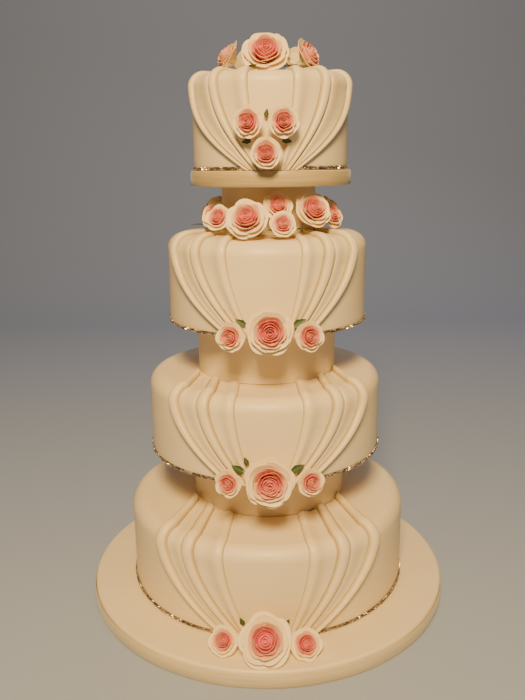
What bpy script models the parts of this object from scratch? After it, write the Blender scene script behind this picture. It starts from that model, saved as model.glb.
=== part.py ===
"""Four-tier wedding cake with draped icing, sugar roses and crystal trim, on its iced base board.

Metres, +Z up, the front of the cake faces -Y. The origin is the middle of the underside of the
base board. Each tier stands on a plain iced spacer, and the top one also on its own board.
"""

import math
from dataclasses import dataclass

import bmesh
import bpy
from mathutils import Matrix, Vector

MM = 0.001
INCH = 0.0254
GAP = 0.3 * MM  # left between pieces that touch

BASE_BOARD_RADIUS = 8 * INCH
BASE_BOARD_HEIGHT = 18.5 * MM
BASE_BOARD_ROUNDING = 3 * MM
TOP_BOARD_RADIUS = 83.5 * MM
TOP_BOARD_HEIGHT = 15 * MM
RIBBON_WIDTH = 14 * MM
RIBBON_THICKNESS = 0.7 * MM
RIBBON_RISE = 0.5 * MM  # the ribbon's lower edge above the board's underside
BOARD_SEGMENTS = 38

TIER_SEGMENTS = 36
SPACER_SEGMENTS = 32
FILLET_STEPS = 3

TRIM_WIDTH = 2.2 * MM
TRIM_HEIGHT = 4 * MM
TRIM_SEGMENTS = 28

DRAPE_LIFT = 1.25 * MM  # underside of a drape strip above the tier, clear of its facets
SIDE_STATIONS = 4
STRIP_CLEARANCE = 0.5 * MM  # between neighbouring strips
FOLD_FLARE = 1.25  # how much further a fold reaches on its outer side
# Height of each strip above the tier at its inner edge, soft ridge, valley, crease, fold, outer edge.
INNER_STRIP_HEIGHTS = (2.4 * MM, 3.4 * MM, 2.3 * MM, 2.4 * MM, 5.2 * MM, 2.6 * MM)
OUTER_STRIP_HEIGHTS = (2.2 * MM, 2.5 * MM, 2.1 * MM, 2.4 * MM, 6.0 * MM, 2.6 * MM)

IVORY = (0.78, 0.66, 0.50)
RIBBON_IVORY = (0.80, 0.70, 0.53)
PETAL_CREAM = (0.86, 0.74, 0.60)
CRYSTAL_GREY = (0.55, 0.52, 0.56)


@dataclass(frozen=True)
class Drape:
    """Where one side's drape lines run: degrees from the front, at the tier's foot and at its top edge."""

    foot: tuple  # crease beside the front panel, inner fold, outer fold
    rim: tuple


@dataclass(frozen=True)
class Tier:
    """One cake tier and the spacer that it carries."""

    name: str
    radius: float
    height: float
    fillet: float
    shift: float  # sideways, as stacked
    spacer_radius: float
    spacer_height: float
    spacer_shift: float
    left: Drape
    right: Drape
    fold_foot: float  # half width of a fold at the foot
    fold_rim: float  # and at the top edge


TIERS = (
    Tier(
        name="tier_4", radius=155.5 * MM, height=97.2 * MM, fillet=14 * MM, shift=0.0,
        spacer_radius=86 * MM, spacer_height=56 * MM, spacer_shift=2 * MM,
        left=Drape(foot=(7.0, 10.5, 15.5), rim=(17.0, 31.5, 44.5)),
        right=Drape(foot=(6.0, 10.0, 14.5), rim=(14.5, 28.5, 43.5)),
        fold_foot=3.2 * MM, fold_rim=7.0 * MM,
    ),
    Tier(
        name="tier_3", radius=127.3 * MM, height=86.2 * MM, fillet=14 * MM, shift=-1.5 * MM,
        spacer_radius=75.5 * MM, spacer_height=55.2 * MM, spacer_shift=1 * MM,
        left=Drape(foot=(6.5, 10.0, 16.0), rim=(13.8, 29.0, 46.0)),
        right=Drape(foot=(7.0, 11.5, 17.5), rim=(16.5, 34.0, 50.5)),
        fold_foot=3.0 * MM, fold_rim=6.5 * MM,
    ),
    Tier(
        name="tier_2", radius=105.8 * MM, height=92 * MM, fillet=15 * MM, shift=2.5 * MM,
        spacer_radius=49.5 * MM, spacer_height=48 * MM, spacer_shift=4.5 * MM,
        left=Drape(foot=(9.0, 13.5, 20.0), rim=(22.4, 42.0, 61.0)),
        right=Drape(foot=(8.0, 12.5, 18.0), rim=(17.2, 33.5, 52.0)),
        fold_foot=2.6 * MM, fold_rim=6.0 * MM,
    ),
    Tier(
        name="tier_1", radius=79.6 * MM, height=90 * MM, fillet=11 * MM, shift=7 * MM,
        spacer_radius=24 * MM, spacer_height=0.0, spacer_shift=7 * MM,
        left=Drape(foot=(5.0, 10.5, 16.5), rim=(16.0, 43.0, 73.0)),
        right=Drape(foot=(5.0, 10.0, 15.5), rim=(14.5, 40.0, 72.0)),
        fold_foot=1.6 * MM, fold_rim=5.0 * MM,
    ),
)


@dataclass(frozen=True)
class Rose:
    """A sugar rose: where the back of the bloom sits and which way it faces."""

    name: str
    radius: float
    depth: float
    place: tuple  # millimetres: x, y and height above the tier's or board's datum
    azimuth: float  # degrees from the front, positive to the right
    elevation: float  # degrees above level
    petals: int = 5


def clear_scene():
    """Removes every object of the startup scene."""
    for thing in list(bpy.data.objects):
        bpy.data.objects.remove(thing, do_unlink=True)


def make_material(name, colour, roughness):
    """A matte or satin finish of one colour."""
    material = bpy.data.materials.new(name)
    material.use_nodes = True
    shader = material.node_tree.nodes["Principled BSDF"]
    shader.inputs["Base Color"].default_value = (*colour, 1.0)
    shader.inputs["Roughness"].default_value = roughness
    return material


def add_object(name, mesh, material, smooth_degrees=40):
    """Links a mesh as an object of its own with one material."""
    mesh.materials.append(material)
    mesh.shade_smooth()
    mesh.set_sharp_from_angle(angle=math.radians(smooth_degrees))
    thing = bpy.data.objects.new(name, mesh)
    bpy.context.scene.collection.objects.link(thing)
    return thing


def finish_mesh(name, shape):
    """Turns a closed bmesh into a mesh whose faces point out."""
    bmesh.ops.recalc_face_normals(shape, faces=shape.faces)
    mesh = bpy.data.meshes.new(name)
    shape.to_mesh(mesh)
    shape.free()
    return mesh


def skin_rings(name, rings, closed_along=False):
    """Joins rings of points into one closed mesh, with a face over each end.

    closed_along joins the last ring to the first one instead, which leaves no ends.
    """
    shape = bmesh.new()
    rows = [[shape.verts.new(point) for point in ring] for ring in rings]
    around = len(rows[0])
    pairs = list(zip(rows, rows[1:]))
    if closed_along:
        pairs.append((rows[-1], rows[0]))
    for low, high in pairs:
        for i in range(around):
            j = (i + 1) % len(low)
            shape.faces.new((low[i], low[j], high[j], high[i]))
    if not closed_along:
        shape.faces.new(rows[0][::-1])
        shape.faces.new(rows[-1])
    return finish_mesh(name, shape)


def turned_mesh(name, profile, segments):
    """A solid turned about Z from (radius, height) pairs that run from its underside to its top."""
    rings = []
    for radius, height in profile:
        angles = (math.tau * i / segments for i in range(segments))
        rings.append([(radius * math.cos(a), radius * math.sin(a), height) for a in angles])
    return skin_rings(name, rings)


def fillet_profile(radius, height, fillet):
    """(radius, height) pairs of a disc or tier with a rounded top edge."""
    profile = [(radius, 0.0)]
    for step in range(FILLET_STEPS + 1):
        angle = 0.5 * math.pi * step / FILLET_STEPS
        profile.append((radius - fillet * (1 - math.cos(angle)), height - fillet * (1 - math.sin(angle))))
    return profile


def band_mesh(name, inner, width, height, segments):
    """A thin upright ring, such as a ribbon round a board."""
    section = ((inner, 0.0), (inner + width, 0.0), (inner + width, height), (inner, height))
    rings = []
    for i in range(segments):
        angle = math.tau * i / segments
        rings.append([(r * math.cos(angle), r * math.sin(angle), z) for r, z in section])
    return skin_rings(name, rings, closed_along=True)


def around_front(radius, degrees, height):
    """A point at an angle from the front, positive to the right."""
    angle = math.radians(degrees)
    return Vector((radius * math.sin(angle), -radius * math.cos(angle), height))


def trim_mesh(name, tier):
    """The crystal edging at a tier's foot: a slim band round it, open where the drape comes down."""
    reach = 1.3 * MM + TRIM_HEIGHT
    fold = math.degrees((FOLD_FLARE * tier.fold_foot + 2 * MM) / tier.radius)
    start = drape_path(tier, tier.right.foot[2], tier.right.rim[2], reach) + fold
    end = 360 - drape_path(tier, tier.left.foot[2], tier.left.rim[2], reach) - fold
    half_step = math.radians(end - start) / (2 * TRIM_SEGMENTS)
    inner = (tier.radius + GAP) / math.cos(half_step)  # keeps the middle of each stretch off the tier
    section = ((inner, GAP), (inner + TRIM_WIDTH, GAP), (inner, GAP + TRIM_HEIGHT))
    rings = []
    for i in range(TRIM_SEGMENTS + 1):
        degrees = start + (end - start) * i / TRIM_SEGMENTS
        rings.append([around_front(r, degrees, z) for r, z in section])
    return skin_rings(name, rings)


def drape_path(tier, foot, rim, rise):
    """Degrees from the front of a drape line at a height up the tier's side, measured along the icing."""
    edge = tier.height - tier.fillet + tier.fillet * math.pi / 4
    share = math.sin(0.5 * math.pi * min(1.0, rise / edge))
    return foot + (rim - foot) * share


def drape_stations(tier):
    """Stations up the side, round the top edge and in over the top.

    Each is (radius, height, outward slope, distance from the foot, share of the way in over the top).
    """
    side = tier.height - tier.fillet
    stations = []
    for i in range(SIDE_STATIONS):
        rise = GAP + (side - GAP) * i / SIDE_STATIONS
        stations.append((tier.radius, rise, 0.0, rise, 0.0))
    for i in range(FILLET_STEPS + 1):
        slope = 0.5 * math.pi * i / FILLET_STEPS
        radius = tier.radius - tier.fillet * (1 - math.cos(slope))
        height = side + tier.fillet * math.sin(slope)
        stations.append((radius, height, slope, side + tier.fillet * slope, 0.0))
    stations.append((tier.radius - tier.fillet, tier.height, 0.5 * math.pi, side * 2, 1.0))
    return stations


def drape_point(tier, station, degrees, lift):
    """A point of the drape above the icing, at an angle from the front taken at the tier's top edge."""
    radius, height, slope, _, inward = station
    point = around_front(radius, degrees, height)
    if inward:
        end_radius = tier.spacer_radius + abs(tier.spacer_shift - tier.shift) + 4 * GAP
        # The strips run straight back over the top, so they spread as they near the middle.
        end = around_front(end_radius, degrees * 1.4, height)
        point = point.lerp(end, inward)
    outward = around_front(math.cos(slope), degrees, math.sin(slope))
    return point + outward * lift


def strip_mesh(name, tier, drape, side, inner, heights):
    """One strip of rolled icing with a soft inner ridge, a valley, a crease and a bold outer fold.

    side is -1 for the left of the cake and 1 for the right. inner picks the strip beside the
    front panel or the one outside it.
    """
    rings = []
    for station in drape_stations(tier):
        rise, inward = station[3], station[4]
        lines = [drape_path(tier, foot, rim, rise) for foot, rim in zip(drape.foot, drape.rim)]
        share = math.sin(0.5 * math.pi * min(1.0, rise / tier.height))
        half = tier.fold_foot + (tier.fold_rim - tier.fold_foot) * share
        half_degrees = math.degrees(half / tier.radius)
        clearance = math.degrees(STRIP_CLEARANCE / min(station[0], tier.radius))
        if inner:
            start, fold = lines[0], lines[1]
        else:
            start, fold = lines[1] + FOLD_FLARE * half_degrees + clearance, lines[2]
        crease = fold - half_degrees
        ridge = start + min(half_degrees, 0.3 * (crease - start))
        valley = 0.5 * (ridge + crease)
        columns = (start, ridge, valley, crease, fold, fold + FOLD_FLARE * half_degrees)
        thin = 1 - 0.35 * (1 - share) - 0.15 * inward
        top = [
            drape_point(tier, station, side * column, max(height * thin, DRAPE_LIFT + 0.9 * MM))
            for column, height in zip(columns, heights)
        ]
        under = [drape_point(tier, station, side * columns[i], DRAPE_LIFT) for i in (5, 2, 0)]
        rings.append(top + under)
    return skin_rings(name, rings)


def rose_mesh(name, radius, depth, petals, fine):
    """A closed rose: a cupped back, an open outer row of petals, a standing row and a rolled bud.

    The bloom opens along +Z from its back at the origin. fine adds a second standing row.
    """
    # radius share, height share, how far the petal lobes swing the ring out and up
    rows = [
        (0.34, 0.00, 0.00, 0.00),
        (1.00, 0.50, 0.05, 0.07),
        (0.80, 0.62, 0.03, 0.02),
        (0.66, 0.90, 0.04, 0.04),
        (0.44, 0.78, 0.00, 0.00),
        (0.32, 1.00, 0.03, 0.00),
    ]
    if fine:
        rows.insert(4, (0.57, 0.76, 0.03, 0.00))
        rows.insert(5, (0.49, 0.97, 0.04, 0.02))
    corners = petals * 2
    rings = []
    for number, (out, up, swing, wave) in enumerate(rows):
        turn = math.pi / petals * (number // 2)
        ring = []
        for i in range(corners):
            angle = math.tau * i / corners
            lobe = math.cos(petals * (angle - turn))
            r = radius * out * (1 + swing * lobe) / 1.03
            z = depth * (up + wave * lobe) / 1.02
            ring.append((r * math.cos(angle), r * math.sin(angle), z))
        rings.append(ring)
    return skin_rings(name, rings)


def facing(azimuth, elevation):
    """Rotation that turns +Z to an angle round from the front and an angle up from level."""
    a = math.radians(azimuth)
    e = math.radians(elevation)
    forward = Vector((math.cos(e) * math.sin(a), -math.cos(e) * math.cos(a), math.sin(e)))
    return forward.to_track_quat("Z", "Y").to_matrix().to_4x4()


def add_rose(rose, origin, material):
    """Places one rose, given the point that its place is measured from."""
    fine = rose.radius > 18 * MM
    mesh = rose_mesh(rose.name, rose.radius, rose.depth, rose.petals, fine)
    place = origin + Vector(rose.place) * MM
    thing = add_object(rose.name, mesh, material, 60)
    thing.matrix_world = Matrix.Translation(place) @ facing(rose.azimuth, rose.elevation)
    return thing


def gather_roses(tier, tilt, flowers):
    """Roses at a tier's foot, where the drape gathers: a large one between two small ones.

    Each flower is (label, angle from the front, distance out from the tier's side, height, radius).
    """
    roses = []
    for label, degrees, out, rise, radius in flowers:
        centre = tuple(around_front(tier.radius / MM + out, degrees, rise))
        depth = (0.86 if label == "middle" else 1.0) * radius * MM
        roses.append(Rose(f"{tier.name}_rose_{label}", radius * MM, depth, centre, degrees, tilt))
    return roses


def make_roses(levels, material):
    """All the sugar roses: three on each tier's front, a dome on the top and a ring round a spacer."""
    tier_4, tier_3, tier_2, tier_1 = TIERS
    placed = []
    sprays = (
        (tier_4, 38, (("left", -14.75, 17.6, 7.4, 14.2), ("middle", -1.5, 20.5, 13.0, 25.5),
                      ("right", 10.7, 22.3, 7.8, 15.0))),
        (tier_3, 8, (("left", -15.4, 6.8, 5.0, 13.2), ("middle", 1.0, 6.8, 8.0, 24.6),
                     ("right", 17.7, 6.8, 4.0, 13.8))),
        (tier_2, 8, (("left", -18.0, 6.8, 3.0, 14.0), ("middle", 0.2, 6.8, 9.0, 22.6),
                     ("right", 18.6, 6.8, 2.5, 14.2))),
    )
    for tier, tilt, flowers in sprays:
        placed += [(rose, levels[tier.name]) for rose in gather_roses(tier, tilt, flowers)]
    front = -tier_1.radius / MM - 6.4
    trio = (
        Rose("tier_1_rose_left", 14 * MM, 14 * MM, (-20.5, front + 3.0, 42.5), -13, 4),
        Rose("tier_1_rose_right", 14 * MM, 14 * MM, (9.5, front + 0.6, 42.5), 6, 4),
        Rose("tier_1_rose_middle", 14 * MM, 14 * MM, (-5.5, front, 15.0), -3, 4),
    )
    placed += [(rose, levels["tier_1"]) for rose in trio]
    dome = (
        Rose("dome_rose_front", 25 * MM, 20 * MM, (-4, -18, 15.6), -4, 34),
        Rose("dome_rose_left", 17 * MM, 16 * MM, (-35, -3, 15), -72, 32),
        Rose("dome_rose_right", 17 * MM, 16 * MM, (31.5, -7, 16.0), 62, 28),
        Rose("dome_rose_back_right", 16.5 * MM, 16 * MM, (24, 27, 14.5), 132, 34),
        Rose("dome_rose_back", 18 * MM, 17 * MM, (-16, 29, 15), 200, 34),
        Rose("dome_rose_crown", 19 * MM, 21 * MM, (1, 7, 12.5), 100, 80),
    )
    top = levels["tier_1"] + Vector((0, 0, tier_1.height))
    placed += [(rose, top) for rose in dome]

    # The ring round the top spacer: angle from the front, distance out, height, radius, tilt.
    ring = (
        ("front_left", -14.0, 78, 14.6, 20.8, 34),
        ("left", -40.0, 72, 16.2, 13.4, 30),
        ("far_left", -61.0, 58, 18.0, 14.5, 26),
        ("upper", 9.5, 59, 27.5, 14.2, 26),
        ("lower", 9.5, 82, 12.4, 12.6, 22),
        ("front_right", 37.5, 69, 22.0, 19.0, 30),
        ("far_right", 68.0, 66, 16.0, 15.2, 28),
        ("back_right", 105.0, 70, 17.0, 19.0, 32),
        ("back_mid_right", 147.0, 70, 17.0, 19.0, 32),
        ("back_mid_left", 189.0, 70, 17.0, 19.0, 32),
        ("back_left", 237.0, 70, 17.6, 20.0, 32),
    )
    shelf = levels["tier_2"] + Vector((0, 0, tier_2.height))
    for label, degrees, out, rise, radius, tilt in ring:
        centre = tuple(around_front(out, degrees, rise))
        depth = 0.85 * radius
        rose = Rose(f"ring_rose_{label}", radius * MM, depth * MM, centre, degrees, tilt)
        placed.append((rose, shelf))
    for rose, origin in placed:
        add_rose(rose, origin, material)


def add_board(name, radius, height, rounding, base, material, ribbon_material):
    """A round board with a ribbon round its edge."""
    inner = radius - RIBBON_THICKNESS - GAP
    if rounding:
        profile = fillet_profile(inner, height, rounding)
    else:
        profile = [(inner, 0.0), (inner, height)]
    board = add_object(name, turned_mesh(name, profile, BOARD_SEGMENTS), material)
    board.location = base
    ribbon_name = f"{name}_ribbon"
    band = band_mesh(ribbon_name, inner + GAP, RIBBON_THICKNESS, RIBBON_WIDTH, BOARD_SEGMENTS)
    ribbon = add_object(ribbon_name, band, ribbon_material)
    ribbon.location = base + Vector((0, 0, RIBBON_RISE))


def add_tier(tier, base, icing, crystal):
    """One tier with its drape strips and the trim at its foot."""
    profile = fillet_profile(tier.radius, tier.height, tier.fillet)
    body = add_object(tier.name, turned_mesh(tier.name, profile, TIER_SEGMENTS), icing)
    body.location = base
    for side, label, drape in ((-1, "left", tier.left), (1, "right", tier.right)):
        for inner, part, heights in (
            (True, "inner", INNER_STRIP_HEIGHTS),
            (False, "outer", OUTER_STRIP_HEIGHTS),
        ):
            name = f"{tier.name}_drape_{label}_{part}"
            strip = add_object(name, strip_mesh(name, tier, drape, side, inner, heights), icing, 75)
            strip.location = base
    name = f"{tier.name}_crystal_trim"
    trim = add_object(name, trim_mesh(name, tier), crystal)
    trim.location = base


def main():
    """Stacks the cake from the base board up."""
    clear_scene()
    icing = make_material("ivory_icing", IVORY, 0.5)
    satin = make_material("satin_ribbon", RIBBON_IVORY, 0.35)
    petals = make_material("sugar_petals", PETAL_CREAM, 0.6)
    crystal = make_material("crystal_trim", CRYSTAL_GREY, 0.2)

    add_board("base_board", BASE_BOARD_RADIUS, BASE_BOARD_HEIGHT, BASE_BOARD_ROUNDING,
              Vector((0, 0, 0)), icing, satin)
    height = BASE_BOARD_HEIGHT + GAP
    levels = {}
    for tier in TIERS:
        if tier.name == "tier_1":
            base = Vector((tier.shift, 0, height))
            add_board("top_board", TOP_BOARD_RADIUS, TOP_BOARD_HEIGHT, 0.0, base, icing, satin)
            height += TOP_BOARD_HEIGHT + GAP
        levels[tier.name] = Vector((tier.shift, 0, height))
        add_tier(tier, levels[tier.name], icing, crystal)
        height += tier.height + GAP
        if tier.spacer_height:
            name = tier.name.replace("tier", "spacer")
            profile = [(tier.spacer_radius, 0.0), (tier.spacer_radius, tier.spacer_height)]
            spacer = add_object(name, turned_mesh(name, profile, SPACER_SEGMENTS), icing)
            spacer.location = (tier.spacer_shift, 0, height)
            height += tier.spacer_height + GAP
    make_roses(levels, petals)


main()
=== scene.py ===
"""Looks of the four-tier wedding cake: ivory sugarpaste, sugar roses, crystal edging, ribbon.

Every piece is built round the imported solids, which give each tier's and board's place and size.
"""

import logging
import math
import random
from dataclasses import dataclass, field
from enum import Enum
from typing import Sequence

import bpy
from mathutils import Matrix, Vector, noise


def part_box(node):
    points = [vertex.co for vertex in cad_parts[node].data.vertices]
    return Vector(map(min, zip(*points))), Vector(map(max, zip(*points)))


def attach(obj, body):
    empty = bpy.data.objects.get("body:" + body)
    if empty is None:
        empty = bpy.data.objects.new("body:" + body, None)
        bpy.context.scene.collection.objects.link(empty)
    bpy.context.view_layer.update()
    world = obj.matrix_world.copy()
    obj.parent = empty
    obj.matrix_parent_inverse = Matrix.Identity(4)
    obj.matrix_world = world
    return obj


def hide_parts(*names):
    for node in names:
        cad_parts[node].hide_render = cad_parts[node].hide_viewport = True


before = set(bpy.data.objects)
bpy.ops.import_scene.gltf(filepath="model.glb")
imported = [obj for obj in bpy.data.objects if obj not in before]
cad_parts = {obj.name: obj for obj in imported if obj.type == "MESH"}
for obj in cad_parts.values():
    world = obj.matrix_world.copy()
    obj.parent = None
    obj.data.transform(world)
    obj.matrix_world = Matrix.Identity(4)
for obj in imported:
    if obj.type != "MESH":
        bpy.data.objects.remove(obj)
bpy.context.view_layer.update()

MM = 0.001
GAP = 0.3 * MM
SWELLS = 14  # hand-made swells per metre of icing
DRAWN_IN = 0.35  # share of a swell that goes inwards, so that the icing keeps near its solid
MIX_FIRST, MIX_SECOND, MIX_RESULT = 6, 7, 2  # colour sockets of Blender's mix node
LOG = logging.getLogger("cake")

Point = Sequence[float]
Grid = list[list[Vector]]
Material = bpy.types.Material
Tree = bpy.types.NodeTree
Socket = bpy.types.NodeSocket


class Side(Enum):
    """The two mirrored halves of a drape."""

    LEFT = -1
    RIGHT = 1


class Slot(Enum):
    """Material slots of the record."""

    ICING = "ivory_icing"
    RIBBON = "satin_ribbon"
    PETALS = "sugar_petals"
    CRYSTAL = "crystal_trim"


# ---- helpers


def linear(code: str) -> tuple[float, float, float, float]:
    """Turns an sRGB hex colour into linear RGBA.

    Args:
        code: Six hex digits with a leading hash.

    Returns:
        Linear red, green and blue with alpha 1.
    """
    parts = [int(code[i:i + 2], 16) / 255 for i in (1, 3, 5)]
    values = [c / 12.92 if c <= 0.04045 else ((c + 0.055) / 1.055) ** 2.4 for c in parts]
    return (values[0], values[1], values[2], 1.0)


def set_inputs(tree: Tree, node: bpy.types.Node, values: dict) -> None:
    """Sets or links a shader node's inputs.

    Args:
        tree: Node tree that holds the node.
        node: Node whose inputs are set.
        values: Inputs by name or number; a socket as a value makes a link.
    """
    for key, value in values.items():
        if isinstance(value, Socket):
            tree.links.new(value, node.inputs[key])
        else:
            node.inputs[key].default_value = value


def add_node(tree: Tree, kind: str, settings: dict | None = None,
             values: dict | None = None) -> bpy.types.Node:
    """Adds a shader node with its settings and its input values or links.

    Args:
        tree: Node tree that gets the node.
        kind: Blender's node type name.
        settings: Node properties by name.
        values: Inputs by name or number; a socket as a value makes a link.

    Returns:
        The new node.
    """
    node = tree.nodes.new(kind)
    for name, value in (settings or {}).items():
        setattr(node, name, value)
    set_inputs(tree, node, values or {})
    return node


def mottle(tree: Tree, place: Socket, spacing: float, detail: float = 2.0) -> Socket:
    """Adds soft random marks.

    Args:
        tree: Node tree of the finish.
        place: Coordinates that the marks are laid out in.
        spacing: Distance from mark to mark.
        detail: Layers of finer marks.

    Returns:
        Socket of the marks' strength.
    """
    return add_node(tree, "ShaderNodeTexNoise", None,
                    {"Vector": place, "Scale": 1 / spacing, "Detail": detail}).outputs["Fac"]


def blend(tree: Tree, share: Socket, first: str | Socket, second: str) -> Socket:
    """Blends two colours.

    Args:
        tree: Node tree of the finish.
        share: How much of the second colour shows.
        first: Hex colour, or the socket of an earlier blend.
        second: Hex colour.

    Returns:
        Socket of the blended colour.
    """
    start = linear(first) if isinstance(first, str) else first
    return add_node(tree, "ShaderNodeMix", {"data_type": "RGBA"},
                    {"Factor": share, MIX_FIRST: start, MIX_SECOND: linear(second)}
                    ).outputs[MIX_RESULT]


def relief(tree: Tree, height: Socket, depth: float, strength: float) -> bpy.types.Node:
    """Adds a fine bump.

    Args:
        tree: Node tree of the finish.
        height: Socket of the bump's height.
        depth: Depth of the bump.
        strength: Share of it that shows.

    Returns:
        The bump node.
    """
    return add_node(tree, "ShaderNodeBump", None,
                    {"Height": height, "Distance": depth, "Strength": strength})


def smooth_step(low: float, high: float, value: float) -> float:
    """Eases from 0 at low to 1 at high."""
    t = min(1.0, max(0.0, (value - low) / (high - low)))
    return t * t * (3 - 2 * t)


def mix(a: float, b: float, share: float) -> float:
    """Value a share of the way from a to b."""
    return a + (b - a) * share


def around_front(radius: float, degrees: float, height: float) -> Vector:
    """Point at an angle from the front, positive to the right."""
    angle = math.radians(degrees)
    return Vector((radius * math.sin(angle), -radius * math.cos(angle), height))


@dataclass
class MeshDraft:
    """Points and faces of one piece while it is being made."""

    points: list[Vector] = field(default_factory=list)
    faces: list[tuple[int, ...]] = field(default_factory=list)
    blush: list[float] = field(default_factory=list)

    def add_skin(self, rings: Grid, loop: bool = False,
                 blush: Sequence[float] | None = None) -> None:
        """Joins rings of points into a skin, with a cap over each open end.

        Args:
            rings: Rows of equally many points, each row closed on itself.
            loop: Join the last row to the first one.
            blush: One tint per point, row by row; on the icing strips it is the strength of the
                painted crease shade.
        """
        start, width = len(self.points), len(rings[0])
        for ring in rings:
            self.points.extend(ring)
        self.blush.extend(blush if blush is not None else [0.0] * (len(rings) * width))
        rows = len(rings)
        for i in range(rows if loop else rows - 1):
            low, high = start + i * width, start + ((i + 1) % rows) * width
            for j in range(width):
                k = (j + 1) % width
                self.faces.append((low + j, low + k, high + k, high + j))
        if not loop:
            self.faces.append(tuple(range(start + width - 1, start - 1, -1)))
            last = start + (rows - 1) * width
            self.faces.append(tuple(range(last, last + width)))

    def build(self, name: str, material: Material, slot: Slot,
              replaces: Sequence[str] = (), smooth: bool = True,
              place: Matrix | None = None) -> bpy.types.Object:
        """Makes the object, gives it its finish and hangs it under the root body.

        Args:
            name: Name of the piece.
            material: Finish of the whole piece.
            slot: Record slot that the finish stands for; not used.
            replaces: CAD nodes that the piece stands for.
            smooth: Shade the faces smooth.
            place: Where the piece sits, if its points are its own.

        Returns:
            The finished object.
        """
        mesh = bpy.data.meshes.new(name)
        points = [place @ p for p in self.points] if place else self.points
        mesh.from_pydata([tuple(p) for p in points], [], self.faces)
        # blush holds each point's tint; on the icing strips it is the painted crease shade
        tint = mesh.attributes.new("blush", "FLOAT", "POINT")
        tint.data.foreach_set("value", self.blush)
        mesh.materials.append(material)
        mesh.validate()
        if smooth:
            mesh.shade_smooth()
            mesh.set_sharp_from_angle(angle=math.radians(50))
        piece = bpy.data.objects.new(name, mesh)
        bpy.context.scene.collection.objects.link(piece)
        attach(piece, "root")
        if replaces:
            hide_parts(*replaces)
        return piece


# ---- finishes


@dataclass(frozen=True)
class Finish:
    """Shared start of every finish: a named Principled material."""

    name: str

    def start(self) -> tuple[Material, Tree, bpy.types.Node]:
        """Makes the material.

        Returns:
            The material, its node tree and its shader.
        """
        material = bpy.data.materials.new(self.name)
        material.use_nodes = True
        tree = material.node_tree
        return material, tree, tree.nodes["Principled BSDF"]


@dataclass(frozen=True)
class Sugarpaste(Finish):
    """Rolled and smoothed sugarpaste: dense, slightly waxy, polished by hand with a smoother.

    Light goes a few millimetres in, so edges glow warm, and the polish leaves soft satin highlights
    with faint wavy marks.
    """

    colour: str = "#f5dfb5"
    shade: str = "#ecd4a8"
    crease: str = "#b39f6e"  # painted shade for the bottom of a tucked fold, where light doesn't reach
    roughness: float = 0.42
    mark_spacing: float = 18 * MM
    grain: float = 0.9 * MM  # icing-sugar grain is finer, drawn this coarse to show

    def make(self) -> Material:
        """Builds the icing's material.

        Returns:
            The material.
        """
        material, tree, shader = self.start()
        place = add_node(tree, "ShaderNodeTexCoord").outputs["Object"]
        cloud = mottle(tree, place, 3 * self.mark_spacing, 3.0)
        tone = blend(tree, cloud, self.colour, self.shade)
        # Painted shade: the blush attribute mixes the colour toward the crease colour in the
        # strips' creases, along their edges and on their hidden undersides
        crease_shade = add_node(tree, "ShaderNodeAttribute", {"attribute_name": "blush"})
        tucked = blend(tree, crease_shade.outputs["Fac"], tone, self.crease)
        marks = mottle(tree, place, self.mark_spacing)
        low = relief(tree, marks, 0.5 * MM, 0.5)
        bump = relief(tree, mottle(tree, place, self.grain), 0.03 * MM, 0.5)
        set_inputs(tree, bump, {"Normal": low.outputs["Normal"]})
        rough = add_node(tree, "ShaderNodeMapRange", None,
                         {"Value": marks, "To Min": self.roughness - 0.05,
                          "To Max": self.roughness + 0.08})
        set_inputs(tree, shader, {
            "Base Color": tucked, "Normal": bump.outputs["Normal"],
            "Roughness": rough.outputs["Result"], "IOR": 1.45, "Subsurface Weight": 0.05,
            "Subsurface Radius": (1.0, 0.78, 0.5), "Subsurface Scale": 3 * MM})
        return material


@dataclass(frozen=True)
class SatinRibbon(Finish):
    """Woven polyester satin: long floats along its length give a smooth sheen, and its streaks are
    painted sheen, lighter and darker bands in the colour.
    """

    # colour is the ribbon's own tone and the lit part of the painted sheen streaks; shade is their
    # darker, painted part
    colour: str = "#e8d6b0"
    shade: str = "#c9ae80"
    roughness: float = 0.3
    thread: float = 0.5 * MM  # threads are finer, drawn this coarse to show

    def make(self) -> Material:
        """Builds the ribbon's material.

        Returns:
            The material.
        """
        material, tree, shader = self.start()
        place = add_node(tree, "ShaderNodeTexCoord").outputs["Object"]
        flat = add_node(tree, "ShaderNodeMapping", None,
                        {"Vector": place, "Scale": (9.0, 9.0, 320.0)})
        # Painted sheen: marks stretched along the ribbon blend the colour between its lit and
        # shaded tones
        painted_sheen_streak = mottle(tree, flat.outputs["Vector"], 0.625)
        weave = add_node(tree, "ShaderNodeTexWave", {"bands_direction": "Z"},
                         {"Vector": place, "Scale": 1 / (self.thread * math.tau),
                          "Distortion": 0.6})
        bump = relief(tree, weave.outputs["Fac"], 0.05 * MM, 0.35)
        set_inputs(tree, shader, {
            "Base Color": blend(tree, painted_sheen_streak, self.colour, self.shade),
            "Normal": bump.outputs["Normal"], "Roughness": self.roughness, "Anisotropic": 0.6,
            "Sheen Weight": 0.25, "Sheen Roughness": 0.4})
        return material


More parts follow.
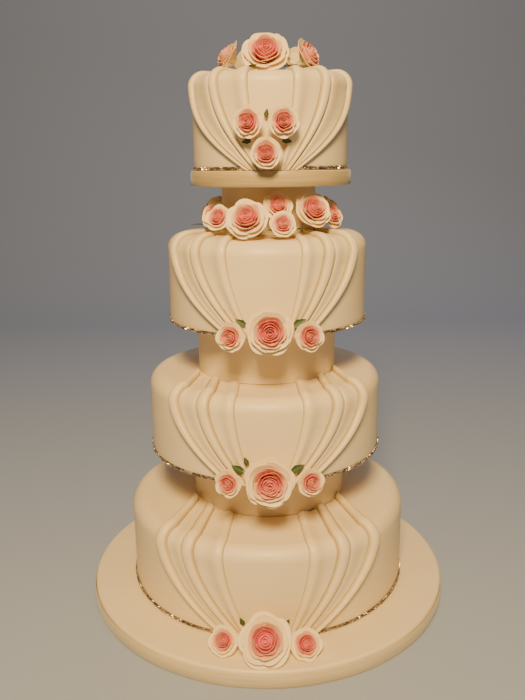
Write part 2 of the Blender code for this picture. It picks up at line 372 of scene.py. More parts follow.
@dataclass(frozen=True)
class FlowerPaste(Finish):
    """Air-dried flower paste dusted by hand: matte, thin enough to glow, coral at the heart."""

    cream: str = "#fde5ba"
    peach: str = "#f6b89a"
    coral: str = "#ec7280"
    heart: str = "#d84d6a"
    roughness: float = 0.62
    fleck: float = 1.6 * MM  # uneven strokes of the dusting brush

    def make(self) -> Material:
        """Builds the petals' material from the blush that each petal carries.

        Returns:
            The material.
        """
        material, tree, shader = self.start()
        place = add_node(tree, "ShaderNodeTexCoord").outputs["Object"]
        blush = add_node(tree, "ShaderNodeAttribute", {"attribute_name": "blush"})
        brush = mottle(tree, place, self.fleck, 3.0)
        uneven = add_node(tree, "ShaderNodeMath", {"operation": "MULTIPLY_ADD"},
                          {0: brush, 1: 0.22, 2: -0.11})
        dusted = add_node(tree, "ShaderNodeMath", {"operation": "ADD", "use_clamp": True},
                          {0: blush.outputs["Fac"], 1: uneven.outputs["Value"]})
        ramp = add_node(tree, "ShaderNodeValToRGB", None, {"Fac": dusted.outputs["Value"]})
        stops = ramp.color_ramp.elements
        stops[0].position, stops[0].color = 0.06, linear(self.cream)
        stops[1].position, stops[1].color = 1.0, linear(self.heart)
        for position, code in ((0.32, self.peach), (0.66, self.coral)):
            stop = stops.new(position)
            stop.color = linear(code)
        bump = relief(tree, brush, 0.12 * MM, 0.4)
        set_inputs(tree, shader, {
            "Base Color": ramp.outputs["Color"], "Normal": bump.outputs["Normal"],
            "Roughness": self.roughness, "Subsurface Weight": 0.15,
            "Subsurface Radius": (1.0, 0.5, 0.35), "Subsurface Scale": 1.5 * MM})
        return material


@dataclass(frozen=True)
class Rhinestone(Finish):
    """Foil-backed glass stones: hard mirror glints, some clear and some smoky or lilac."""

    clear: str = "#dccdb9"
    smoke: str = "#54433f"
    roughness: float = 0.14

    def make(self) -> Material:
        """Builds the stones' material, with each stone's own tint.

        Returns:
            The material.
        """
        material, tree, shader = self.start()
        tint = add_node(tree, "ShaderNodeAttribute", {"attribute_name": "blush"})
        set_inputs(tree, shader, {
            "Base Color": blend(tree, tint.outputs["Fac"], self.clear, self.smoke),
            "Metallic": 0.6, "Roughness": self.roughness})
        return material


@dataclass(frozen=True)
class Leaf(Finish):
    """Green flower paste, glazed: a dark leaf with a soft gloss and paler veins."""

    dark: str = "#2f3f24"
    pale: str = "#5d7046"
    roughness: float = 0.4

    def make(self) -> Material:
        """Builds the leaves' material.

        Returns:
            The material.
        """
        material, tree, shader = self.start()
        vein = add_node(tree, "ShaderNodeAttribute", {"attribute_name": "blush"})
        set_inputs(tree, shader, {
            "Base Color": blend(tree, vein.outputs["Fac"], self.dark, self.pale),
            "Roughness": self.roughness})
        return material


@dataclass(frozen=True)
class Matt(Finish):
    """Matt painted surface of the floor and backdrop."""

    colour: str = "#a2abc0"
    roughness: float = 0.85

    def make(self) -> Material:
        """Builds the floor's material.

        Returns:
            The material.
        """
        material, tree, shader = self.start()
        set_inputs(tree, shader, {"Base Color": linear(self.colour), "Roughness": self.roughness})
        return material


# ---- boards, spacers and tiers


def turned(profile: Sequence[tuple[float, float]], centre: Point, segments: int,
           wobble: float = 0.0, seed: float = 0.0) -> MeshDraft:
    """Turns a profile about an upright axis, with a slight hand-made unevenness.

    Args:
        profile: (radius, height) pairs from the underside to the top.
        centre: Axis position; its height is the profile's zero.
        segments: Points round the axis.
        wobble: Largest change of radius or height.
        seed: Moves the unevenness, so that pieces differ.

    Returns:
        The closed skin.
    """
    draft = MeshDraft()
    rings: Grid = []
    for radius, height in profile:
        ring = []
        for i in range(segments):
            angle = math.tau * i / segments
            x, y = math.cos(angle), math.sin(angle)
            spot = Vector((x * radius * SWELLS, y * radius * SWELLS, height * SWELLS + seed))
            swing = wobble * (noise.noise(spot) - DRAWN_IN)
            lift = wobble * 0.5 * (noise.noise(spot + Vector((7, 3, 1))) - DRAWN_IN)
            ring.append(Vector((centre[0] + x * (radius + swing), centre[1] + y * (radius + swing),
                                centre[2] + height + (lift if height > 0 else 0))))
        rings.append(ring)
    draft.add_skin(rings)
    return draft


def rounded_profile(radius: float, height: float, fillet: float, foot: float = 0.0,
                    steps: int = 12) -> list[tuple[float, float]]:
    """Outline of a disc with a rounded top edge and a small round at its foot.

    Args:
        radius: Outer radius.
        height: Height of the disc.
        fillet: Radius of the top edge.
        foot: Radius of the bottom edge.
        steps: Points round each edge.

    Returns:
        (radius, height) pairs from the underside to the top.
    """
    profile = [(radius * 0.5, 0.0)]
    for i in range(5):
        angle = 0.5 * math.pi * i / 4
        profile.append((radius - foot * (1 - math.sin(angle)), foot * (1 - math.cos(angle))))
    rise = height - fillet - foot
    profile += [(radius, foot + rise * i / 8) for i in range(1, 8)]
    for i in range(steps + 1):
        angle = 0.5 * math.pi * i / steps
        profile.append((radius - fillet * (1 - math.cos(angle)),
                        height - fillet * (1 - math.sin(angle))))
    profile += [((radius - fillet) * share, height) for share in (0.8, 0.6, 0.4, 0.2, 0.05)]
    return profile


@dataclass
class Disc:
    """A round iced piece that stands on its own: a board, a spacer or a tier's cake."""

    node: str
    fillet: float
    wobble: float = 0.0
    foot: float = 0.6 * MM
    segments: int = 160

    def __post_init__(self) -> None:
        """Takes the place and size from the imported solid."""
        low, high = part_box(self.node)
        self.centre = ((low[0] + high[0]) / 2, 0.0, low[2])
        self.radius = (high[0] - low[0]) / 2
        self.height = high[2] - low[2]

    def build(self, material: Material) -> bpy.types.Object:
        """Builds the disc over its solid.

        Args:
            material: Its icing.

        Returns:
            The piece.
        """
        profile = rounded_profile(self.radius, self.height, self.fillet, self.foot)
        draft = turned(profile, self.centre, self.segments, self.wobble, seed=self.centre[2] * 40)
        return draft.build(f"{self.node}_iced", material, Slot.ICING, (self.node,))


@dataclass
class Ribbon:
    """Satin ribbon stuck round a board's edge, with its overlap at the back."""

    node: str
    segments: int = 180
    thickness: float = 0.6 * MM
    edge: float = 0.25 * MM  # round of the woven edge
    hollow: float = 0.06 * MM  # how far the middle of the band draws in
    ripple: float = 0.12 * MM
    ripples: int = 17
    lap: float = 0.15 * MM
    lap_steps: int = 6

    def build(self, material: Material) -> bpy.types.Object:
        """Builds the ribbon with soft edges and a lapped end.

        Args:
            material: Its satin.

        Returns:
            The piece.
        """
        low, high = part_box(self.node)
        centre, outer = (low[0] + high[0]) / 2, (high[0] - low[0]) / 2
        bottom, top = low[2], high[2]
        section = ((self.thickness, bottom + self.edge), (self.edge, bottom),
                   (0.0, bottom + self.edge), (self.hollow, (bottom + top) / 2),
                   (0.0, top - self.edge), (self.edge, top), (self.thickness, top - self.edge))
        rings: Grid = []
        for i in range(self.segments):
            degrees = 180 + 360 * i / self.segments
            radius = outer + self.ripple * (math.sin(math.radians(degrees) * self.ripples) - 1)
            if i >= self.segments - self.lap_steps:
                radius -= self.lap
            rings.append([around_front(radius - inward, degrees, height) + Vector((centre, 0, 0))
                          for inward, height in section])
        draft = MeshDraft()
        draft.add_skin(rings, loop=True)
        return draft.build(f"{self.node}_satin", material, Slot.RIBBON, (self.node,))


@dataclass(frozen=True)
class DrapeLines:
    """Where one side's lines run, in degrees from the front, at the tier's foot and top edge."""

    foot: tuple[float, float, float]
    rim: tuple[float, float, float]


@dataclass(frozen=True)
class Station:
    """One row across a strip."""

    radius: float
    height: float
    slope: float  # how far the icing has turned from upright, in radians
    rise: float  # distance up the icing from the foot
    inward: float  # share of the way in over the top


@dataclass
class Tier:
    """One tier: its smooth cake, four folded strips and crystal edging."""

    name: str
    fillet: float
    left: DrapeLines
    right: DrapeLines
    fold_foot: float
    fold_rim: float
    spacer: str | None = None
    bare_top: float = 24 * MM  # how near the axis the strips run where no spacer stands

    flare: float = 1.25  # how far a rolled fold spreads past its crown, in half widths
    fan: float = 1.4  # how much wider apart the strips run where they reach the spacer
    bedding: float = 0.6 * MM  # how deep a strip is set into the icing
    bed_steps: int = 5
    # strength of the painted shade in the strips' creases, along their edges and on their
    # undersides
    painted_crease_shade: float = 0.6
    strip_rows: int = 64
    strip_columns: int = 52
    foil_steps: int = 120
    stone: float = 0.8 * MM  # half the width of a stone
    stone_pitch: float = 1.9 * MM
    facets: int = 6

    def __post_init__(self) -> None:
        """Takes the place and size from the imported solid."""
        self.disc = Disc(self.name, self.fillet, wobble=0.7 * MM)
        self.radius, self.height = self.disc.radius, self.disc.height
        self.centre = Vector(self.disc.centre)
        self.inner_reach = self.bare_top
        if self.spacer:
            low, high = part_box(self.spacer)
            shift = abs((low[0] + high[0]) / 2 - self.centre[0])
            self.inner_reach = (high[0] - low[0]) / 2 + shift + 4 * GAP

    def line(self, foot: float, rim: float, rise: float) -> float:
        """Degrees from the front of a drape line at a distance up the icing."""
        edge = self.height - self.fillet + self.fillet * math.pi / 4
        return foot + (rim - foot) * math.sin(0.5 * math.pi * min(1.0, rise / edge))

    def stations(self) -> list[Station]:
        """Lays out the rows of a strip.

        Returns:
            Stations from the foot up and in over the top.
        """
        side = self.height - self.fillet
        arc, top = self.fillet * math.pi / 2, self.radius - self.fillet - self.inner_reach
        rows = []
        for i in range(self.strip_rows + 1):
            rise = GAP + (side + arc + top - GAP) * i / self.strip_rows
            if rise < side:
                rows.append(Station(self.radius, rise, 0.0, rise, 0.0))
            elif rise < side + arc:
                slope = (rise - side) / self.fillet
                radius = self.radius - self.fillet * (1 - math.cos(slope))
                height = side + self.fillet * math.sin(slope)
                rows.append(Station(radius, height, slope, rise, 0.0))
            else:
                inward = (rise - side - arc) / top
                radius = self.radius - self.fillet
                rows.append(Station(radius, self.height, math.pi / 2, rise, inward))
        return rows

    def drape_point(self, station: Station, degrees: float, lift: float) -> Vector:
        """Finds a point above the icing.

        Args:
            station: Row that it is in.
            degrees: Its angle from the front, taken at the top edge.
            lift: Its height above the icing.

        Returns:
            The point.
        """
        point = around_front(station.radius, degrees, station.height)
        if station.inward:
            inner = around_front(self.inner_reach, degrees * self.fan, station.height)
            point = point.lerp(inner, station.inward)
        outward = around_front(math.cos(station.slope), degrees, math.sin(station.slope))
        return self.centre + point + outward * lift

    def fold_height(self, share: float, marks: tuple[float, float, float, float], bold: float,
                    width: float, soft: float) -> float:
        """Height of a strip's face across its width.

        Args:
            share: 0 at the inner edge, 1 at the outer one.
            marks: Shares of the soft ridge, the valley, the crease and the fold's crown.
            bold: Height of the outer fold.
            width: Width of the strip here.
            soft: Height of the soft ridge along the inner edge.

        Returns:
            Height above the icing, in metres.
        """
        ridge, valley, crease, crown = marks
        reach = 0.17 if share > ridge else 0.1
        height = 2.3 * MM + soft * math.exp(-((share - ridge) / reach) ** 2)
        height -= 1.1 * MM * math.exp(-((share - valley) / (0.4 * crease)) ** 2)
        height -= 1.9 * MM * math.exp(-((share - crease) * width / (1.0 * MM)) ** 2)
        if share > crease:
            # A rolled edge: steep from the crease, round over its crown, then tucked under.
            half = (1 - crease) / 2
            across = min(1.0, max(-1.0, (share - crease - half) / half))
            roll = math.sqrt(max(0.0, 1 - across * across))
            height = mix(height, bold, roll) if across < 0 else bold * roll
        lip = math.sqrt(min(1.0, share * width / (1.6 * MM)))
        return max(0.1 * MM, height * lip if share < crease else height)

    def strip(self, side: Side, lines: DrapeLines, inner: bool) -> MeshDraft:
        """Builds one folded strip.

        Args:
            side: Which half of the drape.
            lines: Where that half's lines run.
            inner: The strip beside the front panel, or the one outside it.

        Returns:
            Its closed skin.
        """
        rings: Grid = []
        crease_shades: list[float] = []
        for station in self.stations():
            crease, fold_in, fold_out = (self.line(foot, rim, station.rise)
                                         for foot, rim in zip(lines.foot, lines.rim))
            share = math.sin(0.5 * math.pi * min(1.0, station.rise / self.height))
            half = math.degrees(mix(self.fold_foot, self.fold_rim, share) / self.radius)
            if inner:
                start, crown = crease, fold_in
                bold, soft = 0.8 * self.fold_rim + 1.0 * MM, 2.3 * MM
            else:
                start, crown = fold_in + self.flare * half * 0.97, fold_out
                bold, soft = 1.3 * self.fold_rim - 1.6 * MM, 0.4 * MM
            end = crown + self.flare * half * 0.85
            span, flat = end - start, crown - half - start
            width = math.radians(span) * station.radius
            ridge = min(half, 0.3 * flat)
            marks = (ridge / span, 0.55 * flat / span, flat / span, (crown - start) / span)
            bold *= 1 - 0.3 * (1 - share) - 0.12 * station.inward
            wave = 0.35 * MM * noise.noise(Vector((station.rise * 30, start, side.value)))
            ring, crease_shade = [], []
            for u in self.columns(marks[2]):
                # Painted shade: the colour darkens at the crease and along both edges, where the
                # strip meets the icing
                gap = min(abs(u - marks[2]), u, 1 - u) * width
                crease_shade.append(self.painted_crease_shade * math.exp(-(gap / (0.9 * MM)) ** 2))
                lift = self.fold_height(u, marks, bold, width, soft) + wave * math.sin(math.pi * u)
                ring.append(self.drape_point(station, side.value * (start + span * u), lift))
            # The strip's hidden underside gets the full painted shade
            for j in range(self.bed_steps, -1, -1):
                degrees = side.value * (start + span * j / self.bed_steps)
                ring.append(self.drape_point(station, degrees, -self.bedding))
                crease_shade.append(self.painted_crease_shade)
            rings.append(ring if side is Side.RIGHT else ring[::-1])
            crease_shades += crease_shade if side is Side.RIGHT else crease_shade[::-1]
        draft = MeshDraft()
        draft.add_skin(rings, blush=crease_shades)
        return draft

    def columns(self, crease: float) -> list[float]:
        """Spaces a strip's points, closer together at the edges and in the rolled fold.

        Args:
            crease: Share of the crease.

        Returns:
            Shares across the strip from 0 to 1.
        """
        half = self.strip_columns // 2
        flat = [crease * (1 - math.cos(math.pi * i / half)) / 2 for i in range(half)]
        return flat + [crease + (1 - crease) * (1 - math.cos(math.pi * i / half)) / 2
                       for i in range(half + 1)]

    def edging(self) -> MeshDraft:
        """Builds the crystal edging: two rows of cut stones on a thin foil strip.

        Returns:
            Its mesh, with each stone's tint in blush.
        """
        draft = MeshDraft()
        start = self.line(self.right.foot[2], self.right.rim[2], 4 * MM)
        end = 360 - self.line(self.left.foot[2], self.left.rim[2], 4 * MM)
        margin = math.degrees((self.flare * self.fold_foot + 1 * MM) / self.radius)
        start, end = start + margin, end - margin
        count = int(math.radians(end - start) * self.radius / self.stone_pitch)
        foil = ((0.1, 0.4), (0.4, 0.4), (0.4, 3.8), (0.1, 3.8))  # out and up, in millimetres
        rings: Grid = []
        for i in range(self.foil_steps + 1):
            degrees = start + (end - start) * i / self.foil_steps
            rings.append([self.centre + around_front(self.radius + out * MM, degrees, up * MM)
                          for out, up in foil])
        draft.add_skin(rings, blush=[0.6] * (len(rings) * len(foil)))
        dice = random.Random(self.name)
        for row in range(2):
            for i in range(count):
                degrees = start + (end - start) * (i + 0.5 * row + 0.25) / count
                self.add_stone(draft, degrees, (1.2 + 1.7 * row) * MM, dice)
        return draft

    def add_stone(self, draft: MeshDraft, degrees: float, height: float,
                  dice: random.Random) -> None:
        """Adds one brilliant-cut stone.

        Args:
            draft: Mesh that gets it.
            degrees: Where round the tier.
            height: How far up.
            dice: Source of its turn and tint.
        """
        rings: Grid = []
        turn = dice.random()
        for out, share in ((0.35, 1.0), (0.8, 1.0), (1.35, 0.55)):
            ring = []
            for k in range(self.facets):
                angle = math.tau * (k + turn) / self.facets
                across = math.degrees(self.stone * share * math.cos(angle) / self.radius)
                up = height + self.stone * share * math.sin(angle)
                spot = around_front(self.radius + out * MM, degrees + across, up)
                ring.append(self.centre + spot)
            rings.append(ring)
        tint = dice.choice((0.0, 0.3, 0.6, 0.85, 1.0))
        draft.add_skin(rings, blush=[tint] * (len(rings) * self.facets))

    def build(self, icing: Material, crystal: Material) -> int:
        """Builds the tier's pieces.

        Args:
            icing: Finish of the cake and its strips.
            crystal: Finish of the edging.

        Returns:
            Number of pieces made.
        """
        self.disc.build(icing)
        made = 2  # the cake and its edging
        for side, lines in ((Side.LEFT, self.left), (Side.RIGHT, self.right)):
            for part in ("inner", "outer"):
                node = f"{self.name}_drape_{side.name.lower()}_{part}"
                strip = self.strip(side, lines, part == "inner")
                strip.build(f"{node}_icing", icing, Slot.ICING, (node,))
                made += 1
        trim = f"{self.name}_crystal_trim"
        self.edging().build(f"{trim}_stones", crystal, Slot.CRYSTAL, (trim,), smooth=False)
        return made


# ---- roses and leaves


@dataclass(frozen=True)
class PetalRow:
    """One row of a rose's petals, as shares of the bloom's radius and depth."""

    count: int
    reach: float  # how far out the row's rims stand
    rise: float  # how high they stand
    spread: float  # half width of a petal in degrees
    cup: float  # above 1 stands the petal up before it opens
    curl: float  # how far the rim rolls out and down
    blush: float  # tint at the petal's root


BUD_ROWS = (
    PetalRow(2, 0.09, 1.00, 150, 0.35, 0.00, 1.00),
    PetalRow(3, 0.17, 1.01, 88, 0.42, 0.01, 1.00),
    PetalRow(3, 0.26, 1.00, 80, 0.50, 0.02, 0.97),
    PetalRow(4, 0.36, 0.97, 62, 0.58, 0.035, 0.92),
)
SMALL_ROWS = BUD_ROWS + (
    PetalRow(5, 0.52, 0.92, 54, 0.66, 0.06, 0.80),
    PetalRow(5, 0.72, 0.80, 52, 0.78, 0.09, 0.50),
    PetalRow(5, 0.95, 0.62, 51, 0.88, 0.10, 0.08),
)
LARGE_ROWS = BUD_ROWS + (
    PetalRow(5, 0.48, 0.93, 53, 0.64, 0.05, 0.84),
    PetalRow(5, 0.62, 0.86, 52, 0.72, 0.07, 0.58),
    PetalRow(5, 0.80, 0.74, 51, 0.84, 0.09, 0.20),
    PetalRow(5, 0.92, 0.56, 52, 0.95, 0.10, 0.04),
)


@dataclass
class Rose:
    """A sugar rose made petal by petal: a rolled bud, standing rows and curled outer petals."""

    node: str
    radius: float
    depth: float
    place: Vector
    azimuth: float
    elevation: float

    across: int = 11
    along: int = 9
    thickness: float = 0.55 * MM
    cone_sides: int = 14
    large_from: float = 18 * MM  # radius above which a bloom has one more row of petals

    def petal(self, row: PetalRow, turn: float, dice: random.Random,
              scale: float) -> tuple[Grid, list[float]]:
        """Builds one petal as a closed skin round its middle surface.

        Args:
            row: Row that it belongs to.
            turn: Angle of its middle, in radians.
            dice: Source of its unevenness.
            scale: Overall size of the petal.

        Returns:
            Rings of points, and their tints.
        """
        wave, tip = dice.uniform(0, 6.28), dice.uniform(0.0, 0.05)
        lean = dice.uniform(-0.03, 0.05)
        rings: Grid = []
        tints: list[float] = []
        for j in range(self.across):
            t = -1 + 2 * j / (self.across - 1)
            front, back, tint = [], [], []
            for i in range(self.along):
                s = i / (self.along - 1)
                length = s * (1 - 0.16 * abs(t) ** 3)
                opened = row.reach * scale
                out = mix(0.05, opened, length ** row.cup)
                up = row.rise * (length ** (2.1 - row.cup)) + 0.02
                rim = smooth_step(0.7, 1.0, s)
                ruffle = 0.04 * math.sin(4.6 * t + wave) * rim * opened
                out += row.curl * rim * 0.75 + ruffle
                up += (tip * (1 - abs(t)) - row.curl * rim * 0.9 + lean * rim) + 0.8 * ruffle
                overlap = 1 + 0.05 * t  # one edge lies over the next petal
                angle = turn + math.radians(row.spread) * t * (0.35 + 0.65 * length ** 0.5)
                for shift, line in ((0.0, front), (self.thickness, back)):
                    radius = self.radius * out * overlap + shift * mix(1.0, 0.35, s)
                    line.append(Vector((radius * math.cos(angle), radius * math.sin(angle),
                                        self.depth * up - shift * 0.6 * row.reach)))
                edge = smooth_step(0.72, 1.0, max(s, abs(t) * 0.94))
                tint.append(max(0.0, row.blush * (1 - 0.62 * edge) - 0.12 * s * (row.blush < 0.7)))
            rings.append(front + back[::-1])
            tints += tint + tint[::-1]
        return rings, tints

    def build(self, material: Material) -> bpy.types.Object:
        """Builds the whole bloom round its cone of paste.

        Args:
            material: Dusted flower paste.

        Returns:
            The piece.
        """
        draft = MeshDraft()
        dice = random.Random(self.node)
        strength = dice.uniform(0.84, 1.0)  # some were dusted more lightly than others
        for row in LARGE_ROWS if self.radius > self.large_from else SMALL_ROWS:
            first = dice.uniform(0, math.tau)
            for k in range(row.count):
                turn = first + math.tau * k / row.count + dice.uniform(-0.08, 0.08)
                scale = 1 + dice.uniform(-0.03, 0.02)
                rings, tints = self.petal(row, turn, dice, scale)
                draft.add_skin(rings, blush=[strength * tint for tint in tints])
        self.add_back(draft)
        forward = around_front(math.cos(math.radians(self.elevation)), self.azimuth,
                               math.sin(math.radians(self.elevation)))
        turn_to = forward.to_track_quat("Z", "Y").to_matrix().to_4x4()
        return draft.build(f"{self.node}_petals", material, Slot.PETALS, (self.node,),
                           place=Matrix.Translation(self.place) @ turn_to)

    def add_back(self, draft: MeshDraft) -> None:
        """Adds the solid cone of paste that the petals are wrapped round.

        Args:
            draft: Mesh that gets it.
        """
        turns = [math.tau * k / self.cone_sides for k in range(self.cone_sides)]
        rings: Grid = []
        tints: list[float] = []
        for out, up, tint in ((0.20, 0.0, 0.1), (0.30, 0.06, 0.1), (0.40, 0.24, 0.1),
                              (0.38, 0.55, 0.95), (0.28, 0.80, 0.95), (0.04, 0.86, 0.95)):
            rings.append([Vector((self.radius * out * math.cos(turn),
                                  self.radius * out * math.sin(turn), self.depth * up))
                          for turn in turns])
            tints += [tint] * self.cone_sides
        draft.add_skin(rings, blush=tints)


@dataclass(frozen=True)
class RoseSpec:
    """Size and place of one rose, in millimetres and degrees."""

    node: str
    radius: float
    depth: float
    place: tuple[float, float, float]
    azimuth: float
    elevation: float


@dataclass
class RoseGarden:
    """All the roses: three on each tier's front, a dome on top and a ring round the top spacer."""

    tiers: dict[str, Tier]

    def specs(self) -> list[tuple[RoseSpec, Vector]]:
        """Lists every rose.

        Returns:
            Each rose with the point that its place is measured from.
        """
        found: list[tuple[RoseSpec, Vector]] = []
        sprays = (
            ("tier_4", 38, (("left", -14.75, 17.6, 7.4, 14.2), ("middle", -1.5, 20.5, 13.0, 25.5),
                            ("right", 10.7, 22.3, 7.8, 15.0))),
            ("tier_3", 8, (("left", -15.4, 6.8, 5.0, 13.2), ("middle", 1.0, 6.8, 8.0, 24.6),
                           ("right", 17.7, 6.8, 4.0, 13.8))),
            ("tier_2", 8, (("left", -18.0, 6.8, 3.0, 14.0), ("middle", 0.2, 6.8, 9.0, 22.6),
                           ("right", 18.6, 6.8, 2.5, 14.2))),
        )
        for name, tilt, flowers in sprays:
            tier = self.tiers[name]
            for label, degrees, out, rise, size in flowers:
                spot = around_front(tier.radius / MM + out, degrees, rise)
                depth = size * (0.86 if label == "middle" else 1.0)
                spec = RoseSpec(f"{name}_rose_{label}", size, depth, tuple(spot), degrees, tilt)
                found.append((spec, tier.centre))
        top_tier = self.tiers["tier_1"]
        front = -(top_tier.radius / MM + 6.4)
        crown = top_tier.centre + Vector((0, 0, top_tier.height))
        for spray, origin, flowers in (
            ("tier_1", top_tier.centre, (
                ("left", 14, 14, (-20.5, front + 3.0, 42.5), -13, 4),
                ("right", 14, 14, (9.5, front + 0.6, 42.5), 6, 4),
                ("middle", 14, 14, (-5.5, front, 15.0), -3, 4))),
            ("dome", crown, (
                ("front", 24, 20, (-4, -18, 15.6), -4, 34),
                ("left", 17, 16, (-35, -3, 15), -72, 32),
                ("right", 17, 16, (31.5, -7, 16.0), 62, 28),
                ("back_right", 16.5, 16, (24, 27, 14.5), 132, 34),
                ("back", 18, 17, (-16, 29, 15), 200, 34),
                ("crown", 19, 21, (1, 7, 12.5), 100, 80))),
        ):
            found += [(RoseSpec(f"{spray}_rose_{label}", *sizes), origin)
                      for label, *sizes in flowers]
        shelf_tier = self.tiers["tier_2"]
        shelf = shelf_tier.centre + Vector((0, 0, shelf_tier.height))
        for label, degrees, out, rise, size, tilt in (
            ("front_left", -14.0, 78, 14.6, 20.8, 34),
            ("left", -40.0, 72, 16.2, 13.4, 30),
            ("far_left", -61.0, 58, 18.0, 14.5, 26),
            ("upper", 9.5, 59, 27.5, 14.2, 26),
            ("lower", 9.5, 82, 12.4, 12.6, 22),
            ("front_right", 37.5, 69, 22.0, 19.0, 30),
            ("far_right", 68.0, 66, 16.0, 15.2, 28),
            ("back_right", 107.0, 67, 17.0, 17.0, 32),
            ("back_mid_right", 147.0, 70, 17.0, 19.0, 32),
            ("back_mid_left", 189.0, 70, 17.0, 19.0, 32),
            ("back_left", 235.0, 66, 17.6, 16.5, 32),
        ):
            spot = tuple(around_front(out, degrees, rise))
            # Those at the sides look a little to the front, as they were set from there.
            turn = 0.62 * degrees if degrees < 100 else degrees
            spec = RoseSpec(f"ring_rose_{label}", size, 0.85 * size, spot, turn, tilt)
            found.append((spec, shelf))
        return found

    def build(self, paste: Material) -> int:
        """Builds every rose.

        Args:
            paste: Dusted flower paste.

        Returns:
            Number of roses made.
        """
        specs = self.specs()
        for spec, origin in specs:
            place = origin + Vector(spec.place) * MM
            Rose(spec.node, spec.radius * MM, spec.depth * MM, place, spec.azimuth,
                 spec.elevation).build(paste)
        return len(specs)


@dataclass
class Leaves:
    """Small sugar leaves that peep out between the roses, joined into one piece for each spray."""

    tiers: dict[str, Tier]
    rows: int = 9

    def add_leaf(self, draft: MeshDraft, base: Vector, toward: Vector, face: Vector,
                 length: float) -> None:
        """Adds one pointed, folded leaf.

        Args:
            draft: Mesh that gets it.
            base: Where its stalk is.
            toward: Direction of its tip.
            face: Direction that its upper side faces.
            length: Length of the leaf.
        """
        toward = toward.normalized()
        across = toward.cross(face).normalized()
        up = across.cross(toward).normalized()
        rings: Grid = []
        tints: list[float] = []
        for i in range(self.rows):
            s = i / (self.rows - 1)
            half = length * 0.27 * math.sin(math.pi * min(0.98, 0.06 + 0.94 * s) ** 0.8) + 0.1 * MM
            half *= 1 + 0.12 * math.sin(18 * s)
            ring = []
            for lift, share in ((0.0, -1), (-0.5, -0.5), (-0.9, 0), (-0.5, 0.5), (0.0, 1),
                                (-0.9, 0.5), (-1.3, 0), (-0.9, -0.5)):
                bend = -0.18 * length * s * s
                ring.append(base + toward * length * s + across * half * share
                            + up * (lift * 0.16 * half + bend - (0.3 * MM if lift < -1 else 0)))
                tints.append(0.9 if share == 0 else 0.15)
            rings.append(ring)
        draft.add_skin(rings, blush=tints)

    def build(self, green: Material) -> int:
        """Builds a spray of leaves for each group of roses.

        Args:
            green: Glazed leaf paste.

        Returns:
            Number of pieces made.
        """
        made = 0
        for name, places in (
            ("tier_4", ((5.2, 17, 30, 9), (-9.3, 18, -25, 9))),
            ("tier_3", ((10.6, 14, 62, 14), (-9.6, 14, -60, 14), (-8.0, 22, -20, 9))),
            ("tier_2", ((12.0, 12, 64, 14), (-11.6, 13, -60, 12))),
            ("tier_1", ((-3.8, 47, 10, 8), (6.5, 27, 100, 9), (-13.5, 27, -100, 9),
                        (5.0, 30, 60, 7))),
        ):
            tier = self.tiers[name]
            draft = MeshDraft()
            for degrees, rise, heading, length in places:
                base = tier.centre + around_front(tier.radius + 4 * MM, degrees, rise * MM)
                face = around_front(1.0, degrees, 0.35)
                across = around_front(1.0, degrees + 90, 0.0)
                toward = across * math.sin(math.radians(heading)) + Vector(
                    (0, 0, math.cos(math.radians(heading)))) + face * 0.25
                self.add_leaf(draft, base, toward, face, length * MM)
            draft.build(f"{name}_leaves", green, Slot.PETALS)
            made += 1
        crown, shelf = self.tiers["tier_1"], self.tiers["tier_2"]
        for label, tier, out, rise, length, places in (
            ("dome", crown, 30, 8, 19, (24, -30, 44, 95, 150, -110, 178)),
            ("ring", shelf, 68, 8, 14, (1, -27, 24, 88, 126, 168, 213, 262)),
        ):
            draft = MeshDraft()
            for degrees in places:
                base = tier.centre + around_front(out * MM, degrees, tier.height + rise * MM)
                face = Vector((0, 0, 1)) + around_front(0.4, degrees, 0)
                toward = around_front(1.0, degrees + 20, 0.15)
                self.add_leaf(draft, base, toward, face, length * MM)
            draft.build(f"{label}_leaves", green, Slot.PETALS)
            made += 1
        return made


# ---- studio


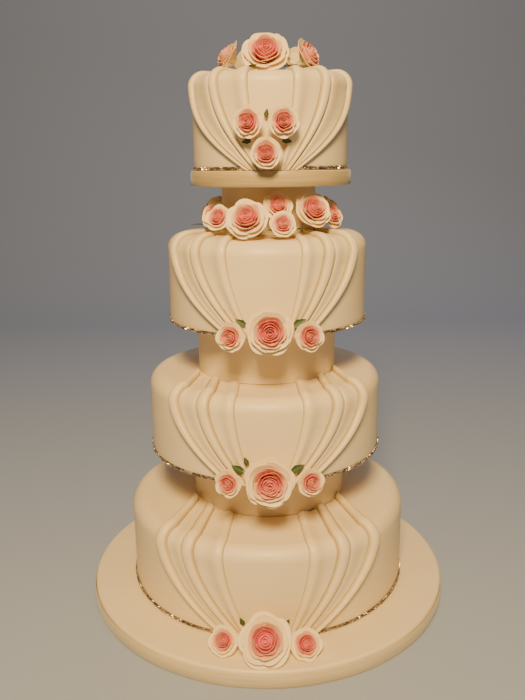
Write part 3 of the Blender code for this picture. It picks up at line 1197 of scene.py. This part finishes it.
@dataclass
class Studio:
    """Plain pale floor, soft lights and the camera."""

    lens: float = 36.6
    eye: tuple[float, float, float] = (-0.0077, -0.768, 0.4764)
    pitch: float = 14.64
    heading: float = 0.31
    roll: float = -0.65

    def build(self, floor_paint: Material) -> None:
        """Sets up the stage.

        Args:
            floor_paint: Finish of the floor.
        """
        mesh = bpy.data.meshes.new("floor")
        profile = [(-4.0, 0.0), (1.4, 0.0)]
        profile += [(1.4 + math.sin(a * math.pi / 32), 1 - math.cos(a * math.pi / 32))
                    for a in range(1, 17)]
        profile.append((2.4, 5.0))
        points = [(x, y, z) for y, z in profile for x in (-5.0, 5.0)]
        rows = range(0, len(points) - 2, 2)
        mesh.from_pydata(points, [], [(i, i + 1, i + 3, i + 2) for i in rows])
        mesh.shade_smooth()
        mesh.materials.append(floor_paint)
        floor = bpy.data.objects.new("floor", mesh)
        bpy.context.scene.collection.objects.link(floor)
        world = bpy.data.worlds.new("soft_room")
        world.use_nodes = True
        sky = world.node_tree.nodes["Background"]
        sky.inputs["Color"].default_value = linear("#b3b9c8")
        sky.inputs["Strength"].default_value = 0.17
        bpy.context.scene.world = world
        self.add_light("key", (-0.08, -1.35, 1.5), (0, 0, 0.28), 0.45, 62.0, "#ffdd9c")
        self.add_light("backdrop", (0, 0.9, 2.6), (0, 2.4, 0.9), 1.2, 8.0, "#eef1ff")
        self.add_light("back", (0.5, 1.6, 1.5), (0, 0, 0.3), 1.2, 2.5, "#eef0ff")
        lens = bpy.data.cameras.new("camera")
        lens.lens = self.lens
        lens.sensor_width = 36
        lens.sensor_fit = "AUTO"
        lens.clip_start = 0.01
        camera = bpy.data.objects.new("camera", lens)
        turn = (Matrix.Rotation(math.radians(-self.heading), 4, "Z")
                @ Matrix.Rotation(math.radians(90 - self.pitch), 4, "X")
                @ Matrix.Rotation(math.radians(self.roll), 4, "Z"))
        camera.matrix_world = Matrix.Translation(self.eye) @ turn
        bpy.context.scene.collection.objects.link(camera)
        bpy.context.scene.camera = camera

    def add_light(self, name: str, place: Point, target: Point, size: float, watts: float,
                  colour: str) -> None:
        """Adds one square soft light.

        Args:
            name: Name of the light.
            place: Where it hangs.
            target: Where it points.
            size: Side of its square.
            watts: Its strength.
            colour: Its sRGB hex colour.
        """
        data = bpy.data.lights.new(name, "AREA")
        data.size = size
        data.energy = watts
        data.color = linear(colour)[:3]
        light = bpy.data.objects.new(name, data)
        light.location = place
        light.rotation_euler = (Vector(target) - Vector(place)).to_track_quat("-Z", "Y").to_euler()
        bpy.context.scene.collection.objects.link(light)


TIERS = (
    Tier("tier_4", 14 * MM, DrapeLines((7.0, 10.5, 15.5), (17.0, 31.5, 44.5)),
         DrapeLines((6.0, 10.0, 14.5), (14.5, 28.5, 43.5)), 3.2 * MM, 7.0 * MM, "spacer_4"),
    Tier("tier_3", 14 * MM, DrapeLines((6.5, 10.0, 16.0), (13.8, 29.0, 46.0)),
         DrapeLines((7.0, 11.5, 17.5), (16.5, 34.0, 50.5)), 3.0 * MM, 6.5 * MM, "spacer_3"),
    Tier("tier_2", 15 * MM, DrapeLines((9.0, 13.5, 20.0), (22.4, 42.0, 61.0)),
         DrapeLines((8.0, 12.5, 18.0), (17.2, 33.5, 52.0)), 2.6 * MM, 6.0 * MM, "spacer_2"),
    Tier("tier_1", 11 * MM, DrapeLines((5.0, 10.5, 16.5), (16.0, 43.0, 73.0)),
         DrapeLines((5.0, 10.0, 15.5), (14.5, 40.0, 72.0)), 1.8 * MM, 5.4 * MM),
)


def main() -> None:
    """Builds every sub-assembly in order and reports each one."""
    logging.basicConfig(level=logging.INFO, format="%(name)s: %(message)s")
    icing = Sugarpaste("ivory_sugarpaste_polished").make()
    satin = SatinRibbon("ivory_satin_ribbon_woven").make()
    champagne = SatinRibbon("champagne_satin_ribbon_woven", colour="#d6bf8c",
                            shade="#a88a55").make()
    paste = FlowerPaste("flower_paste_dusted_coral").make()
    crystal = Rhinestone("foil_backed_glass_stones").make()
    green = Leaf("leaf_paste_glazed").make()

    Disc("base_board", 3 * MM, wobble=0.4 * MM, segments=220).build(icing)
    Disc("top_board", 0.5 * MM).build(icing)
    Ribbon("base_board_ribbon").build(satin)
    Ribbon("top_board_ribbon").build(champagne)
    LOG.info("boards and ribbons: 4 pieces")
    for name in ("spacer_4", "spacer_3", "spacer_2"):
        Disc(name, 0.6 * MM, wobble=0.5 * MM, segments=120).build(icing)
    LOG.info("spacers: 3 pieces")
    for tier in TIERS:
        LOG.info("%s: %d pieces", tier.name, tier.build(icing, crystal))
    tiers = {tier.name: tier for tier in TIERS}
    LOG.info("roses: %d pieces", RoseGarden(tiers).build(paste))
    LOG.info("leaves: %d pieces", Leaves(tiers).build(green))
    Studio().build(Matt("matt_floor_paint").make())


if __name__ == "__main__":
    main()
